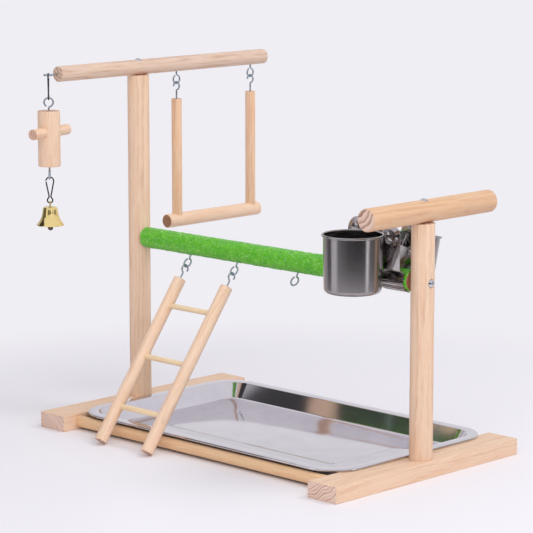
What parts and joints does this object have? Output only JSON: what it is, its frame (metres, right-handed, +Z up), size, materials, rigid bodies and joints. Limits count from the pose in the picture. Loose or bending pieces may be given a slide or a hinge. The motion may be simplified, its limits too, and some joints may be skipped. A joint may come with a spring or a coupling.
{
  "type": "parrot play stand",
  "caption": "Table-top wooden bird play stand with perches on two posts, swing, leaning ladder, hanging bell toy, clip-on steel cups and a lift-out steel tray.",
  "frame": {"origin": "centre of the underside of the foot board under the tall post", "axes": "+X from the tall post to the short post, +Y to the back, away from the leaning ladder, +Z up"},
  "size_m": [0.47, 0.3742, 0.4135],
  "materials": {
    "pine": "bare sanded softwood",
    "pale_pine": "bare sanded softwood, paler",
    "green_grit": "bonded mineral grit",
    "tray_steel": "polished pressed sheet",
    "cup_steel": "brushed, bright rim",
    "clip_steel": "pressed sheet",
    "zinc_wire": "zinc plated wire",
    "dark_wire": "nickel plated wire",
    "screw_steel": "bright plated",
    "bell_brass": "polished"
  },
  "bodies": {
    "frame": {"left_foot": "pine", "right_foot": "pine", "front_rail": "pine", "rear_rail": "pine", "tall_foot_screw": "screw_steel", "short_foot_screw": "screw_steel", "tall_post": "pine", "short_post": "pine", "top_perch_screw": "screw_steel", "side_perch_screw": "screw_steel", "tall_post_screw": "screw_steel", "short_post_screw": "screw_steel", "swing_eye_front": "zinc_wire", "swing_eye_rear": "zinc_wire", "toy_eye": "zinc_wire", "top_perch": "pine", "side_perch": "pine", "ladder_eye_left": "zinc_wire", "ladder_eye_right": "zinc_wire", "spare_eye": "zinc_wire", "middle_perch": "pine", "grit_sleeve": "green_grit"},
    "tray": {"tray": "tray_steel"},
    "swing": {"swing_upright_front": "pine", "swing_hook_front": "zinc_wire", "swing_upright_rear": "pine", "swing_hook_rear": "zinc_wire", "swing_bar": "pine"},
    "ladder": {"ladder_rail_left": "pine", "ladder_hook_left": "zinc_wire", "ladder_rail_right": "pine", "ladder_hook_right": "zinc_wire", "ladder_rung_1": "pale_pine", "ladder_rung_2": "pale_pine", "ladder_rung_3": "pale_pine"},
    "upper_snap": {"upper_snap_hook": "dark_wire"},
    "block": {"toy_block": "pine", "cross_dowel": "pine", "block_top_eye": "zinc_wire", "block_bottom_eye": "zinc_wire"},
    "lower_snap": {"lower_snap_hook": "dark_wire"},
    "bell": {"bell": "bell_brass", "bell_loop": "bell_brass"},
    "clapper": {"clapper": "bell_brass"},
    "front_cup_unit": {"front_clip_plate": "clip_steel", "front_rivet_1": "screw_steel", "front_rivet_2": "screw_steel", "front_cup": "cup_steel", "front_clip_pin": "clip_steel", "front_clip_spring": "clip_steel"},
    "front_clip_arm": {"front_clip_arm": "clip_steel"},
    "rear_cup_unit": {"rear_clip_plate": "clip_steel", "rear_rivet_1": "screw_steel", "rear_rivet_2": "screw_steel", "rear_cup": "cup_steel", "rear_clip_pin": "clip_steel", "rear_clip_spring": "clip_steel"},
    "rear_clip_arm": {"rear_clip_arm": "clip_steel"}
  },
  "joints": [
    {"name": "tray_lift", "type": "slide", "parent": "frame", "child": "tray", "axis": [0, 0.5934, 0.8049], "range_m": [0, 0.06]},
    {"name": "swing_hinge", "type": "hinge", "parent": "frame", "child": "swing", "pos_m": [0, 0.1135, 0.3801], "axis": [0, 1, 0], "range_deg": [-60, 60]},
    {"name": "ladder_hinge", "type": "hinge", "parent": "frame", "child": "ladder", "pos_m": [0.13015, -0.02237, 0.18355], "axis": [-1, 0, 0], "range_deg": [0, 70]},
    {"name": "upper_snap_swing", "type": "hinge", "parent": "frame", "child": "upper_snap", "pos_m": [0.00354, -0.14634, 0.40325], "axis": [0.7071, 0.7071, 0], "range_deg": [-35, 35]},
    {"name": "block_swing", "type": "hinge", "parent": "upper_snap", "child": "block", "pos_m": [0.00354, -0.14634, 0.37635], "axis": [0.7071, -0.7071, 0], "range_deg": [-30, 30]},
    {"name": "lower_snap_swing", "type": "hinge", "parent": "block", "child": "lower_snap", "pos_m": [0.00354, -0.14634, 0.28755], "axis": [0.7071, -0.7071, 0], "range_deg": [-35, 35]},
    {"name": "bell_swing", "type": "hinge", "parent": "lower_snap", "child": "bell", "pos_m": [0.00354, -0.14634, 0.26065], "axis": [0.7071, 0.7071, 0], "range_deg": [-30, 30]},
    {"name": "clapper_swing", "type": "hinge", "parent": "bell", "child": "clapper", "pos_m": [0.00354, -0.14634, 0.2515], "axis": [0.7071, -0.7071, 0], "range_deg": [-26, 26]},
    {"name": "front_cup_turn", "type": "hinge", "parent": "frame", "child": "front_cup_unit", "pos_m": [0.378, -0.008, 0.207], "axis": [1, 0, 0], "range_deg": [-5, 25]},
    {"name": "front_clip_open", "type": "hinge", "parent": "front_cup_unit", "child": "front_clip_arm", "pos_m": [0.403, -0.008, 0.236], "axis": [1, 0, 0], "range_deg": [0, 13], "stiffness_Nm_per_rad": 0.25, "springref_deg": -57.3},
    {"name": "rear_cup_turn", "type": "hinge", "parent": "frame", "child": "rear_cup_unit", "pos_m": [0.3695, -0.008, 0.207], "axis": [-1, 0, 0], "range_deg": [-12, 12]},
    {"name": "rear_clip_open", "type": "hinge", "parent": "rear_cup_unit", "child": "rear_clip_arm", "pos_m": [0.3445, -0.00197, 0.23537], "axis": [-1, 0, 0], "range_deg": [0, 13], "stiffness_Nm_per_rad": 0.25, "springref_deg": -57.3}
  ]
}
